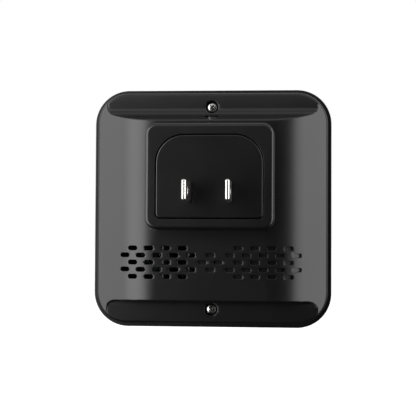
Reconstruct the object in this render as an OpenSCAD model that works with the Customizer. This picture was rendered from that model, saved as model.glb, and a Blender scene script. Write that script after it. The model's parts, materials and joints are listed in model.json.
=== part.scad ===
// Plug-in ultrasonic pest repeller with a fixed two-blade plug on its back.
// X runs to the right as seen from the front, +Y points into the outlet, +Z is up.
// The origin lies on the outlet face, midway between the blades.

/* [Housing] */
// Width and height of the front cover
body_w = 78; // [76:0.5:80]
// Corner radius of the front cover
corner_r = 11.3; // [10:0.1:13]
// Drop from the centre of the blades to the centre of the housing
body_drop = 4.5; // [4:0.1:5]
// Depth from the outlet face to the front face
body_depth = 36; // [36:0.5:40]
// Depth from the outlet face to the seam between the covers
seam_depth = 18; // [17.8:0.1:18.2]
// Wall thickness of both covers
wall = 2; // [1.8:0.1:2.1]
// Step from the front cover's edge in to the rear cover at the seam
seam_step = 1.1; // [0.9:0.1:1.3]

/* [Rear dome] */
// Depth from the outlet face to the crown of the dome
crown_depth = 6.5; // [6:0.1:6.8]
// Half width of the level crown
crown_half = 17; // [16:0.5:18]
// Radius of the dome's rounded shoulders
shoulder_r = 24; // [22:0.5:26]
// Steepness of the side slopes in degrees
slope_angle = 32; // [30:0.5:33]
// Draft of the rear cover's outer walls in degrees
side_draft = 7.5; // [5:0.5:8]

/* [Screw shelves] */
// Distance from the housing's centre to the inner crease of each shelf
shelf_start = 30; // [29.8:0.1:30.4]
// Depth from the outlet face to the edges of the shelves
shelf_depth = 11.5; // [11.2:0.1:11.8]
// How far the hollow of each shelf dips below its edges
shelf_dip = 1.2; // [0.8:0.1:1.3]
// Lean of the upper shelf's wall in degrees
upper_wall_lean = 27; // [24:1:28]
// Lean of the lower shelf's wall in degrees
lower_wall_lean = 6; // [4:1:12]
// Distance from the housing's centre to each case screw
case_screw_reach = 32.8; // [32.6:0.1:32.8]

/* [Outlet pad] */
// Width of the pad's flat face
pad_w = 37.8; // [37.8:0.1:38.6]
// Height of the pad's flat face
pad_h = 30.8; // [30.8:0.1:31.4]
// Height of the pad's centre above the blades
pad_rise = 5; // [4.8:0.1:5.2]
// Width of the plug insert
insert_w = 33.2; // [32.8:0.1:33.4]
// Height of the plug insert
insert_h = 25.9; // [25.6:0.1:26.1]
// Radius of the insert's upper corners
insert_top_r = 8.8; // [8:0.1:9.5]
// Radius of the insert's lower corners
insert_low_r = 1.5; // [1.4:0.1:2]
// Gap all round the insert
insert_gap = 0.25; // [0.15:0.05:0.3]

/* [Blades] */
// Distance between the blades' centres
blade_pitch = 12.7; // [12.6:0.1:12.8]
// Height of each blade
blade_h = 6.35; // [6.2:0.05:6.5]
// Thickness of each blade
blade_t = 1.5; // [1.4:0.05:1.6]
// Length of each blade outside the outlet face
blade_len = 16.5; // [16:0.1:17.5]
// Diameter of the hole near each blade's tip
blade_hole_d = 3.1; // [2.9:0.1:3.3]

/* [Vents and grille] */
// Length of each slot
slot_l = 3; // [2.8:0.1:3.2]
// Height of each slot
slot_h = 1.4; // [1.2:0.1:1.5]
// Distance between slots in a row
slot_pitch = 5.33; // [5.2:0.01:5.4]
// Distance between rows of slots
row_pitch = 2.26; // [2.1:0.02:2.3]
// Distance from the housing's middle to the centre of each side field of vents
vent_reach = 16.8; // [16.6:0.1:17]
// Drop from the blades to the middle row of vents
vent_drop = 22; // [21.5:0.1:22.3]
// Depth of the closed vents, which are those in the middle and on the -X side
closed_vent_depth = 0.9; // [0.6:0.1:1.1]
// Radius of the field of slots in front of the transducer
grille_r = 17; // [15:0.5:17.5]

/* [Mode button] */
// Diameter of the mode button
button_d = 7.8; // [7:0.1:7.8]
// How far the mode button travels
button_travel = 0.5; // [0.3:0.1:0.5]

/* [Hidden] */
$fn = 64;

// Colours
shell_black = [0.07, 0.07, 0.075];
insert_black = [0.05, 0.05, 0.055];
nickel = [0.80, 0.80, 0.78];
copper = [0.72, 0.42, 0.20];
solder_mask = [0.05, 0.24, 0.12];

// Housing: places along Y are negative towards the front
body_z = -body_drop;
seam_y = -seam_depth;
front_y = -body_depth;
front_inner_y = front_y + wall;
front_draft = 2;
front_edge_r = 5;
seam_gap = 0.2;
rear_low_y = seam_y + seam_gap;
rear_w = body_w - 2 * seam_step;
rear_r = corner_r - seam_step + 0.3;
skirt_w = body_w - 2 * wall - 0.6;
skirt_r = corner_r - wall - 0.3;
skirt_t = 1.4;
skirt_low_y = seam_y - 2;

// Case screws, one above and one below
case_screw_z = [body_z + case_screw_reach, body_z - case_screw_reach];
case_head_y = -13.7;
case_head_h = 1.2;
case_head_d = 3.1;
case_seat_y = case_head_y - case_head_h;
case_shank_d = 2;
case_screw_end_y = -30;
screw_well_d = 4.2;
screw_tube_d = 7.4;
case_joint_y = -19.2;
case_post_d = 4.8;

// Notch in the foot of the upper shelf's wall, below the upper case screw
notch_w = 4.6;
notch_h = 0.6;
notch_reach = 0.9;

// Plug
pad_draft = 3;
pad_edge_r = 0.9;
pad_corner_r = 2.4;
pad_root = 8;
insert_edge_r = 0.4;
insert_z = pad_rise - 0.1;
flange_front_y = -crown_depth - wall - 0.1;
flange_back_y = flange_front_y - 2.2;
plate_back_y = flange_back_y - 2;
clamp_w = 52;
clamp_h = 14;
clamp_screw_x = 22.8;
blade_tail_y = -16.2;
blade_tail_h = 4.4;

// Transducer
horn_z = 2;
cloth_t = 0.2;
gasket_t = 0.8;
frame_front_y = front_inner_y + cloth_t + gasket_t;
frame_back_y = frame_front_y + 9.4;
frame_r = 21;
frame_mouth_r = 11;
ear_reach = 24;
ear_angles = [45, 135, 225, 315];
ear_front_y = front_inner_y + 5.2;
ear_back_y = ear_front_y + 1.4;
dish_r = 20.5;
dish_depth = 0.5;

// Circuit board
board_rear_y = -20;
board_t = 1.6;
board_front_y = board_rear_y - board_t;
board_w = 62;
board_h = 57;
board_hole_x = 27.5;
board_hole_z = 25;
board_post_d = 5;
header_at = [-28, 2];

// Controls
led_z = -21.5;
pipe_d = 3;
button_z = -29;
button_hole_d = 8;
plunger_d = 3.4;
plunger_seat = 1.2;
switch_w = 6;
switch_h = 3.5;
switch_face_y = board_front_y - switch_h;
plunger_tip_y = switch_face_y - 1;
led_d = 3;
led_h = 4;

// Transformer, its winding's axis along X
core_l = 13;
core_h = 10;
core_t = 5.4;
core_leg = 1.8;
centre_leg = 2.6;
bobbin_foot = 0.6;

// Places of the parts on the board's rear side, in X and Z
transformer_at = [-14, -22.5];
safety_capacitor_at = [-2.6, -22.5];
bulk_capacitor_at = [6, -22.5];
output_capacitor_at = [15.2, -22.5];
varistor_at = [-23.5, 8];
fuse_at = [-27.5, -10];
diode_xs = [22.5, 26.5];
diode_z = -16;
bridge_at = [-15.5, -9];
control_chip_at = [0, -2.6];
inductor_at = [-22, -1.5];
transistor_xs = [20, 26];
transistor_z = 6;

// Rounds a length to a thousandth
function fine(v) = round(v * 1000) / 1000;

// How far the flat top of a soft block lies inside its base outline
function edge_inset(depth, draft, edge) =
    fine((edge + (depth - edge) * sin(draft)) / cos(draft));

// Point on a cubic curve through four control points
function curve_point(p, t) =
    pow(1 - t, 3) * p[0] + 3 * pow(1 - t, 2) * t * p[1] + 3 * (1 - t) * t * t * p[2] + pow(t, 3) * p[3];
function curve_tangent(p, t) =
    3 * pow(1 - t, 2) * (p[1] - p[0]) + 6 * (1 - t) * t * (p[2] - p[1]) + 3 * t * t * (p[3] - p[2]);
function unit(v) = v / norm(v);

// Turns a shape so that its height runs towards the outlet
module facing_rear() {
    rotate([90, 0, 0]) mirror([0, 0, 1]) children();
}

// Turns a shape so that its height runs towards the front
module facing_front() {
    rotate([90, 0, 0]) children();
}

// Upright slab of a flat outline in X and Z
module slab(y_low, y_high) {
    translate([0, y_low, 0]) facing_rear() linear_extrude(y_high - y_low) children();
}

// Rod along Y
module rod(d, y_low, y_high, x = 0, z = 0) {
    translate([x, y_low, z]) facing_rear() cylinder(h = y_high - y_low, d = d);
}

// Round part about a Y axis, from an outline of [radius, y] points
module turned(x = 0, z = 0) {
    translate([x, 0, z]) facing_rear() rotate_extrude() children();
}

module rounded_rect(w, h, r) {
    square([w - 2 * r, h], center = true);
    square([w, h - 2 * r], center = true);
    for (sx = [-1, 1], sy = [-1, 1])
        translate([sx * (w / 2 - r), sy * (h / 2 - r)]) circle(r);
}

// Rectangle with its own radius for the upper and the lower corners
module arched_rect(w, h, r_top, r_low) {
    for (sx = [-1, 1]) {
        translate([sx * (w / 2 - r_top), h / 2 - r_top]) circle(r_top);
        translate([sx * (w / 2 - r_low), r_low - h / 2]) circle(r_low);
    }
    translate([-w / 2, r_low - h / 2]) square([w, h - r_top - r_low]);
    translate([r_top - w / 2, 0]) square([w - 2 * r_top, h / 2]);
    translate([r_low - w / 2, -h / 2]) square([w - 2 * r_low, h / 2]);
}

module slot_2d() {
    square([slot_l - slot_h, slot_h], center = true);
    for (s = [-1, 1]) translate([s * (slot_l - slot_h) / 2, 0]) circle(slot_h / 2);
}

// Section through a drafted wall with a rounded top edge, from its middle out to its base line
module edge_profile(reach, depth, draft, edge) {
    flat_x = reach - edge_inset(depth, draft, edge);
    steps = edge > 2 ? 12 : 6;
    arc = [for (i = [0:steps]) let (a = draft + (90 - draft) * i / steps)
        [fine(flat_x + edge * cos(a)), fine(depth - edge + edge * sin(a))]];
    polygon(concat([[0, 0], [reach, 0]], arc, [[0, depth]]));
}

// Block with rounded corners, drafted sides and a rounded top edge, given by its base
module soft_block(w, h, r_top, r_low, depth, draft, edge) {
    top_y = h / 2 - r_top;
    low_y = r_low - h / 2;
    for (s = [-1, 1]) {
        translate([s * (w / 2 - r_top), top_y, 0]) rotate([0, 0, s > 0 ? 0 : 90])
            rotate_extrude(angle = 90) edge_profile(r_top, depth, draft, edge);
        translate([s * (w / 2 - r_low), low_y, 0]) rotate([0, 0, s > 0 ? 270 : 180])
            rotate_extrude(angle = 90) edge_profile(r_low, depth, draft, edge);
        mirror([s > 0 ? 0 : 1, 0, 0]) translate([w / 2 - r_top, top_y, 0]) rotate([90, 0, 0])
            linear_extrude(top_y - low_y) edge_profile(r_top, depth, draft, edge);
    }
    translate([r_top - w / 2, low_y, 0]) cube([w - 2 * r_top, top_y - low_y, depth]);
    translate([r_top - w / 2, top_y, 0]) rotate([90, 0, 90]) linear_extrude(w - 2 * r_top)
        edge_profile(r_top, depth, draft, edge);
    translate([r_low - w / 2, low_y, 0]) rotate([90, 0, 90]) linear_extrude(w - 2 * r_low)
        mirror([1, 0]) edge_profile(r_low, depth, draft, edge);
}

// Pan-head screw with a cross recess, its head towards the outlet
module screw(x, z, seat_y, head_h, head_d, shank_d, length) {
    translate([x, seat_y, z]) facing_rear() difference() {
        union() {
            intersection() {
                cylinder(h = head_h, d = head_d);
                translate([0, 0, head_h - head_d]) sphere(head_d);
            }
            translate([0, 0, -length]) cylinder(h = length + head_h / 2, d = shank_d);
        }
        for (a = [0, 90]) rotate([0, 0, a + 45]) translate([0, 0, head_h])
            cube([head_d * 0.62, head_d * 0.17, head_h], center = true);
    }
}

// Insulated lead along a cubic curve, as a tube of eight sides
module lead(p, d) {
    steps = 14;
    sides = 8;
    rings = [for (i = [0:steps]) let (c = curve_point(p, i / steps), t = unit(curve_tangent(p, i / steps)),
        n = unit(cross(t, [0.21, 0.33, 0.92])), b = cross(n, t))
        for (k = [0:sides - 1]) c + d / 2 * (cos(k * 360 / sides) * n + sin(k * 360 / sides) * b)];
    skin = [for (i = [0:steps - 1], k = [0:sides - 1], half = [0, 1]) let (a = i * sides + k,
        b = i * sides + (k + 1) % sides) half == 0 ? [a, b, b + sides] : [a, b + sides, a + sides]];
    start = [for (k = [0:sides - 1]) sides - 1 - k];
    end = [for (k = [0:sides - 1]) steps * sides + k];
    polyhedron(rings, concat(skin, [start, end]), convexity = 4);
}

// Places a part on the board's rear or front side, its height away from the board
module on_rear(at) {
    translate([at[0], board_rear_y, at[1]]) facing_rear() children();
}

module on_front(at) {
    translate([at[0], board_front_y, at[1]]) facing_front() children();
}

// Section of the dome across X, sunk below its surface by inset
module dome_section(inset) {
    centre_y = -crown_depth - shoulder_r;
    r = shoulder_r - inset;
    reach = 46;
    steps = 12;
    shoulder = [for (i = [0:steps]) let (a = slope_angle * i / steps)
        [crown_half + r * sin(a), centre_y + r * cos(a)]];
    low_y = shoulder[steps][1] - (reach - shoulder[steps][0]) * tan(slope_angle);
    right = concat(shoulder, [[reach, low_y], [reach, centre_y - shoulder_r]]);
    left = [for (i = [len(right) - 1:-1:0]) [-right[i][0], right[i][1]]];
    polygon(concat(right, left));
}

// What the shelf on one side cuts from the dome; its outline is in Z and Y
module shelf_cut(side, lean, inset) {
    half = (body_w / 2 - shelf_start) / 2;
    shift = inset / cos(lean);
    floor_y = -shelf_depth - inset - (inset > 0 ? shelf_dip : 0);
    hollow_r = (half * half + shelf_dip * shelf_dip) / (2 * shelf_dip);
    half_angle = asin(half / hollow_r);
    steps = 12;
    hollow = [for (i = [0:steps]) let (a = half_angle * (1 - 2 * i / steps))
        [shelf_start + half + hollow_r * sin(a), floor_y - shelf_dip + hollow_r * (1 - cos(a))]];
    base = inset > 0 ? [[shelf_start - shift, floor_y]] : hollow;
    top_y = 4;
    wall_top = shelf_start - shift - (top_y - floor_y) * tan(lean);
    translate([0, 0, body_z]) rotate([0, -90, 0]) linear_extrude(body_w + 10, center = true)
        mirror([side > 0 ? 0 : 1, 0])
            polygon(concat([[wall_top, top_y], [50, top_y], [50, floor_y]], base));
}

// Dome with both shelves, from y_low up; inset makes the hollow inside it
module dome(w, r, y_low, draft, inset) {
    difference() {
        intersection() {
            translate([0, y_low, body_z]) facing_rear() soft_block(w, w, r, r, 30, draft, 1);
            translate([0, 0, body_z - body_w]) linear_extrude(2 * body_w) dome_section(inset);
        }
        shelf_cut(1, upper_wall_lean, inset);
        shelf_cut(-1, lower_wall_lean, inset);
    }
}

// Vents of the rear cover's left, middle or right field (-1, 0, 1), in X and Z about the middle row
module vent_field(sides) {
    for (side = sides, row = [-2:2]) {
        count = side == 0 ? 2 - abs(row) : 4 + abs(row) % 2;
        pitch = side == 0 ? 5 : slot_pitch;
        for (i = [0:1:count - 1])
            translate([side * vent_reach + (i - (count - 1) / 2) * pitch, row * row_pitch]) slot_2d();
    }
}

module rear_cover() {
    pad_inset = edge_inset(pad_root, pad_draft, pad_edge_r);
    color(shell_black) difference() {
        union() {
            difference() {
                union() {
                    dome(rear_w, rear_r, rear_low_y, side_draft, 0);
                    translate([0, -pad_root, pad_rise]) facing_rear()
                        soft_block(pad_w + 2 * pad_inset, pad_h + 2 * pad_inset, pad_corner_r + pad_inset,
                            pad_corner_r + pad_inset, pad_root, pad_draft, pad_edge_r);
                }
                dome(rear_w - 2 * wall - 0.6, rear_r - wall, rear_low_y - 1, 0, wall);
            }
            slab(skirt_low_y, rear_low_y + 0.8) translate([0, body_z]) difference() {
                rounded_rect(skirt_w, skirt_w, skirt_r);
                rounded_rect(skirt_w - 2 * skirt_t, skirt_w - 2 * skirt_t, skirt_r - skirt_t);
            }
            for (z = case_screw_z) rod(screw_tube_d, case_joint_y, -shelf_depth - shelf_dip - 1, 0, z);
            for (s = [-1, 1])
                rod(6, flange_back_y, -crown_depth - 1.8, s * clamp_screw_x, insert_z);
        }
        slab(-12, 2) translate([0, insert_z])
            arched_rect(insert_w + 2 * insert_gap, insert_h + 2 * insert_gap,
                insert_top_r + insert_gap, insert_low_r + insert_gap);
        slab(-30, 2) translate([0, -vent_drop]) vent_field([1]);
        difference() {
            slab(-30, 2) translate([0, -vent_drop]) vent_field([-1, 0]);
            translate([0, -closed_vent_depth, body_z - body_w]) linear_extrude(2 * body_w) dome_section(0);
        }
        for (z = case_screw_z) {
            rod(screw_well_d, case_seat_y, 2, 0, z);
            rod(case_shank_d + 0.4, -22, 2, 0, z);
        }
        for (s = [-1, 1])
            rod(1.6, flange_back_y - 1, flange_back_y + 2.8, s * clamp_screw_x, insert_z);
        translate([-notch_w / 2, -shelf_depth - 1, body_z + shelf_start - notch_reach])
            cube([notch_w, 3, notch_h]);
    }
}

// Slots in front of the transducer, in X and Z about its axis
module grille_field() {
    rows = ceil(grille_r / row_pitch);
    for (row = [-rows:rows], i = [-4:4]) {
        x = (i + (row % 2 == 0 ? 0 : 0.5)) * slot_pitch;
        if (norm([abs(x) + slot_l / 2, row * row_pitch]) <= grille_r)
            translate([x, row * row_pitch]) slot_2d();
    }
}

module front_cover() {
    depth = body_depth - seam_depth;
    color(shell_black) difference() {
        union() {
            difference() {
                translate([0, seam_y, body_z]) facing_front()
                    soft_block(body_w, body_w, corner_r, corner_r, depth, front_draft, front_edge_r);
                translate([0, seam_y + 1, body_z]) facing_front()
                    soft_block(body_w - 2 * wall, body_w - 2 * wall, corner_r - wall, corner_r - wall,
                        depth - wall + 1, front_draft, front_edge_r - wall);
            }
            for (z = case_screw_z) rod(case_post_d, front_inner_y - 0.5, case_joint_y, 0, z);
            for (sx = [-1, 1], sz = [-1, 1])
                rod(board_post_d, front_inner_y - 0.5, board_front_y, sx * board_hole_x,
                    body_z + sz * board_hole_z);
            for (a = ear_angles)
                rod(4.4, front_inner_y - 0.5, ear_front_y, ear_reach * cos(a), horn_z + ear_reach * sin(a));
        }
        for (z = case_screw_z) rod(1.9, case_screw_end_y - 1, case_joint_y + 1, 0, z);
        for (sx = [-1, 1], sz = [-1, 1])
            rod(1.9, board_front_y - 7, board_front_y + 1, sx * board_hole_x, body_z + sz * board_hole_z);
        for (a = ear_angles)
            rod(1.5, ear_front_y - 4.5, ear_front_y + 1, ear_reach * cos(a), horn_z + ear_reach * sin(a));
        slab(front_y - 1, front_inner_y + 1) translate([0, horn_z]) grille_field();
        rod(2 * dish_r, front_y - 1, front_y + dish_depth, 0, horn_z);
        rod(pipe_d + 0.2, front_y - 1, front_inner_y + 1, 0, led_z);
        rod(button_hole_d, front_y - 1, front_inner_y + 1, 0, button_z);
    }
}

module plug_insert() {
    color(insert_black) difference() {
        union() {
            translate([0, flange_front_y - 0.5, insert_z]) facing_rear()
                soft_block(insert_w, insert_h, insert_top_r, insert_low_r, 0.5 - flange_front_y, 0,
                    insert_edge_r);
            slab(flange_back_y, flange_front_y) translate([0, insert_z])
                rounded_rect(insert_w + 4.4, insert_h + 3.6, 2.4);
        }
        for (s = [-1, 1]) translate([s * blade_pitch / 2, 0, 0])
            cube([blade_t, 60, blade_h], center = true);
    }
}

// Flat blade with a tapered tip, a hole near the tip and a narrow soldering tail
module blade(x) {
    bevel = 0.45;
    corner = 1.1;
    taper = 1.3;
    hole_reach = 4.6;
    tail_hole_d = 1.4;
    end_y = blade_len;
    shoulder_y = plate_back_y - 0.6;
    color(nickel) translate([x, 0, 0]) difference() {
        intersection() {
            translate([0, 0, -blade_h]) linear_extrude(2 * blade_h)
                polygon([[-blade_t / 2, blade_tail_y], [blade_t / 2, blade_tail_y],
                    [blade_t / 2, end_y - taper], [blade_t / 2 - bevel, end_y],
                    [bevel - blade_t / 2, end_y], [-blade_t / 2, end_y - taper]]);
            rotate([0, -90, 0]) linear_extrude(2 * blade_t, center = true) {
                translate([-blade_h / 2, shoulder_y]) square([blade_h, end_y - corner - shoulder_y]);
                translate([-blade_tail_h / 2, blade_tail_y]) square([blade_tail_h, 10]);
                translate([corner - blade_h / 2, 0]) square([blade_h - 2 * corner, end_y]);
                for (s = [-1, 1]) translate([s * (blade_h / 2 - corner), end_y - corner]) circle(corner);
            }
        }
        translate([0, end_y - hole_reach, 0]) rotate([0, 90, 0])
            cylinder(h = 4, d = blade_hole_d, center = true);
        translate([0, blade_tail_y + 1.6, 0]) rotate([0, 90, 0])
            cylinder(h = 4, d = tail_hole_d, center = true);
    }
}

module line_blade() { blade(-blade_pitch / 2); }

module neutral_blade() { blade(blade_pitch / 2); }

module blade_clamp_plate() {
    color([0.82, 0.80, 0.74]) slab(plate_back_y, flange_back_y) difference() {
        translate([0, insert_z]) rounded_rect(clamp_w, clamp_h, 3);
        for (s = [-1, 1]) {
            translate([s * blade_pitch / 2, 0]) square([blade_t + 0.1, blade_h + 0.1], center = true);
            translate([s * clamp_screw_x, insert_z]) circle(1.2);
        }
    }
}

module clamp_screws() {
    color(nickel) for (s = [-1, 1]) translate([0, 2 * plate_back_y, 0]) mirror([0, 1, 0])
        screw(s * clamp_screw_x, insert_z, plate_back_y, 1.1, 3.4, 1.5, 4.4);
}

module case_screws() {
    color(nickel) for (z = case_screw_z)
        screw(0, z, case_seat_y, case_head_h, case_head_d, case_shank_d - 0.2,
              case_seat_y - case_screw_end_y);
}

module main_pcb() {
    color(solder_mask) slab(board_front_y, board_rear_y) translate([0, body_z]) difference() {
        rounded_rect(board_w, board_h, 2);
        for (sx = [-1, 1], sz = [-1, 1]) translate([sx * board_hole_x, sz * board_hole_z]) circle(1.2);
    }
}

module pcb_screws() {
    color(nickel) for (sx = [-1, 1], sz = [-1, 1])
        screw(sx * board_hole_x, body_z + sz * board_hole_z, board_rear_y, 1.4, 4, 1.8, 7);
}

module transformer_core() {
    window_l = core_l - 2 * core_leg;
    color([0.17, 0.16, 0.17]) on_rear(transformer_at)
        translate([0, 0, bobbin_foot + core_h / 2]) difference() {
            cube([core_l, core_t, core_h], center = true);
            for (s = [-1, 1]) translate([0, 0, s * (core_h / 2 - core_leg + centre_leg / 2) / 2])
                cube([window_l, core_t + 2, core_h / 2 - core_leg - centre_leg / 2], center = true);
        }
}

module transformer_bobbin() {
    flange_x = core_l / 2 - core_leg - 0.45;
    color([0.10, 0.10, 0.11]) on_rear(transformer_at) {
        for (s = [-1, 1]) {
            translate([s * flange_x, 0, bobbin_foot + core_h / 2]) difference() {
                cube([0.7, core_t + 5.6, core_h - 2 * core_leg - 0.1], center = true);
                cube([2, core_t + 0.1, centre_leg + 0.1], center = true);
            }
            for (t = [-1, 1]) translate([s * (flange_x + 0.6), t * (core_t / 2 + 1.7), bobbin_foot])
                translate([-1, -0.9, -bobbin_foot]) cube([1.6, 1.8, bobbin_foot + core_leg + 1.2]);
        }
    }
}

module transformer_winding() {
    length = core_l - 2 * core_leg - 1.7;
    color([0.22, 0.17, 0.13]) on_rear(transformer_at)
        translate([0, 0, bobbin_foot + core_h / 2]) rotate([90, 0, 90])
            linear_extrude(length, center = true) difference() {
                rounded_rect(core_t + 5, core_h - 2 * core_leg - 0.4, 1.6);
                square([core_t + 0.1, centre_leg + 0.1], center = true);
            }
}

module safety_capacitor() {
    color([0.30, 0.30, 0.31]) on_rear(safety_capacitor_at)
        translate([-2.5, -6.5, 0]) cube([5, 13, 9.6]);
}

// Electrolytic can lying on the board, its axis along Z
module lying_can(at, d, length) {
    r = d / 2;
    on_rear(at) translate([0, 0, r]) rotate([90, 0, 0]) translate([0, 0, -length / 2])
        rotate_extrude() difference() {
            square([r, length]);
            translate([r + 0.35, 1.8]) circle(0.6);
            translate([-1, length - 0.3]) square([r - 0.2, 1]);
        }
}

module bulk_capacitor() {
    color([0.16, 0.11, 0.09]) lying_can(bulk_capacitor_at, 8, 13);
}

module output_capacitor() {
    color([0.11, 0.12, 0.13]) lying_can(output_capacitor_at, 6.3, 11);
}

module surge_varistor() {
    r = 3.6;
    t = 3.2;
    bevel = 0.5;
    color([0.10, 0.28, 0.62]) on_rear(varistor_at) rotate_extrude()
        polygon([[0, 0], [r - bevel, 0], [r, bevel], [r, t - bevel], [r - bevel, t], [0, t]]);
}

// Axial part lying on the board along Z, with bent leads
module axial(at, d, length) {
    on_rear(at) {
        translate([0, 0, d / 2]) rotate([90, 0, 0]) cylinder(h = length, d = d, center = true);
        for (s = [-1, 1]) {
            translate([0, s * (length / 2 + 0.7), d / 2]) rotate([90, 0, 0])
                cylinder(h = 1.6, d = 0.6, center = true);
            translate([0, s * (length / 2 + 1.5), 0]) cylinder(h = d / 2 + 0.3, d = 0.6);
        }
    }
}

module mains_fuse() {
    color([0.78, 0.74, 0.62]) axial(fuse_at, 3.2, 8);
}

module rectifier_diodes() {
    color([0.13, 0.13, 0.14]) for (x = diode_xs) axial([x, diode_z], 2.6, 5);
}

// Moulded chip with a row of bent legs on both long sides
module chip(at, l, w, h, legs, pitch) {
    on_rear(at) {
        translate([-l / 2, -w / 2, 0.15]) cube([l, w, h - 0.15]);
        for (s = [-1, 1], i = [0:legs - 1])
            translate([(i - (legs - 1) / 2) * pitch - 0.2, s * (w / 2 + 0.45) - 0.65, 0])
                cube([0.4, 1.3, 0.35]);
    }
}

module bridge_rectifier() {
    color([0.12, 0.12, 0.13]) chip(bridge_at, 4.8, 4, 2.4, 2, 2.5);
}

module control_chip() {
    color([0.10, 0.10, 0.11]) chip(control_chip_at, 8.6, 3.9, 1.6, 7, 1.27);
}

module boost_inductor_core() {
    color([0.20, 0.19, 0.19]) on_rear(inductor_at) rotate_extrude() {
        square([3.6, 1]);
        square([1.8, 5]);
        translate([0, 4]) square([3.6, 1]);
    }
}

module boost_inductor_winding() {
    color(copper) on_rear(inductor_at) rotate_extrude() translate([1.9, 1.1]) square([1.4, 2.8]);
}

module driver_transistors() {
    color([0.09, 0.09, 0.10]) for (x = transistor_xs) on_rear([x, transistor_z]) intersection() {
        cylinder(h = 4.6, d = 4.8);
        translate([-3, -1.4, 0]) cube([6, 6, 5]);
    }
}

module chip_resistors() {
    color([0.14, 0.14, 0.15]) {
        for (i = [0:4], j = [0:1]) on_rear([14 + 3 * i, 12.5 + 2.6 * j])
            translate([-1, -0.6, 0]) cube([2, 1.2, 0.5]);
        for (i = [0:3]) on_rear([-9 + 3 * i, 16]) translate([-1, -0.6, 0]) cube([2, 1.2, 0.5]);
    }
}

module chip_capacitors() {
    color([0.66, 0.52, 0.36]) {
        for (i = [0:3]) on_rear([-9 + 3 * i, 13]) translate([-1, -0.6, 0]) cube([2, 1.2, 0.9]);
        for (i = [0:2]) on_rear([16 + 3.4 * i, -3]) translate([-0.6, -1, 0]) cube([1.2, 2, 0.9]);
    }
}

module status_led() {
    color([0.75, 0.82, 0.95]) on_front([0, led_z]) {
        cylinder(h = 0.8, d = led_d + 0.8);
        cylinder(h = led_h, d = led_d);
        translate([0, 0, led_h]) intersection() {
            sphere(led_d / 2);
            cylinder(h = led_d, d = led_d + 1);
        }
    }
}

module light_pipe() {
    pipe_rear_y = board_front_y - led_h - led_d / 2 - 0.2;
    color([0.85, 0.90, 0.95]) {
        rod(pipe_d, front_y - 0.2, pipe_rear_y, 0, led_z);
        rod(pipe_d + 1.6, front_inner_y, front_inner_y + 1, 0, led_z);
    }
}

module tact_switch_body() {
    bore_floor = switch_h - plunger_seat - button_travel - 0.2;
    color([0.12, 0.12, 0.13]) on_front([0, button_z]) difference() {
        union() {
            translate([-switch_w / 2, -switch_w / 2, 0]) cube([switch_w, switch_w, switch_h]);
            for (s = [-1, 1], t = [-1, 1])
                translate([s * (switch_w + 1) / 2 - 0.6, t * 2.2 - 0.4, 0]) cube([1.2, 0.8, 0.5]);
        }
        translate([0, 0, bore_floor]) cylinder(h = switch_h, d = plunger_d + 0.1);
    }
}

module tact_switch_plunger() {
    color([0.72, 0.72, 0.70]) rod(plunger_d, plunger_tip_y, switch_face_y + plunger_seat,
        0, button_z);
}

module mode_button() {
    cap_y = front_y - 0.8;
    flange_y = front_inner_y + 0.05;
    color([0.16, 0.16, 0.17]) turned(0, button_z) difference() {
        union() {
            translate([0, cap_y]) square([button_d / 2 - 0.5, flange_y + 1 - cap_y]);
            translate([0, cap_y + 0.5]) square([button_d / 2, flange_y + 0.5 - cap_y]);
            translate([button_d / 2 - 0.5, cap_y + 0.5]) circle(0.5);
            translate([0, flange_y]) square([button_d / 2 + 0.9, 1]);
            translate([0, flange_y]) square([1.5, plunger_tip_y - 0.05 - flange_y]);
        }
        translate([0, cap_y - 11.6]) circle(12);
    }
}

module grille_cloth() {
    color([0.03, 0.03, 0.03]) rod(40.5, front_inner_y, front_inner_y + cloth_t, 0, horn_z);
}

module transducer_gasket() {
    color([0.10, 0.10, 0.10]) turned(0, horn_z)
        translate([18.6, front_inner_y + cloth_t]) square([frame_r - 18.8, gasket_t]);
}

module transducer_frame() {
    step_y = frame_front_y + 1;
    floor_y = frame_back_y - 1.8;
    color([0.09, 0.09, 0.10]) difference() {
        union() {
            turned(0, horn_z) polygon([[19.6, frame_front_y], [frame_r, frame_front_y],
                [frame_r, frame_back_y], [frame_mouth_r, frame_back_y], [frame_mouth_r, floor_y],
                [18.4, floor_y], [18.4, step_y], [19.6, step_y]]);
            slab(ear_front_y, ear_back_y) translate([0, horn_z]) for (a = ear_angles) rotate(a) {
                translate([ear_reach, 0]) circle(2.7);
                translate([frame_r - 1.4, -2.7]) square([ear_reach - frame_r + 1.4, 5.4]);
            }
        }
        for (a = ear_angles)
            rod(2, ear_front_y - 1, ear_back_y + 1, ear_reach * cos(a), horn_z + ear_reach * sin(a));
        for (a = [0:30:330])
            rod(2.4, floor_y - 1, frame_back_y + 1, 15.2 * cos(a), horn_z + 15.2 * sin(a));
    }
}

module transducer_horn() {
    y = frame_front_y;
    color([0.72, 0.73, 0.75]) turned(0, horn_z)
        polygon([[1.2, y + 7.3], [2, y + 7.3], [2, y + 6.3], [6, y + 5.2], [18, y + 1], [19.2, y + 1],
            [19.2, y + 0.2], [17.9, y + 0.2], [5.7, y + 4.7], [1.2, y + 5.9]]);
}

module transducer_plate() {
    color([0.80, 0.62, 0.28]) rod(31, frame_front_y + 7.3, frame_front_y + 7.6, 0, horn_z);
}

module piezo_disc() {
    color([0.86, 0.84, 0.78]) rod(15, frame_front_y + 7.6, frame_front_y + 7.9, 0, horn_z);
}

module transducer_screws() {
    color(nickel) for (a = ear_angles)
        screw(ear_reach * cos(a), horn_z + ear_reach * sin(a), ear_back_y, 1.1, 3.2, 1.4, 5.4);
}

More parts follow.
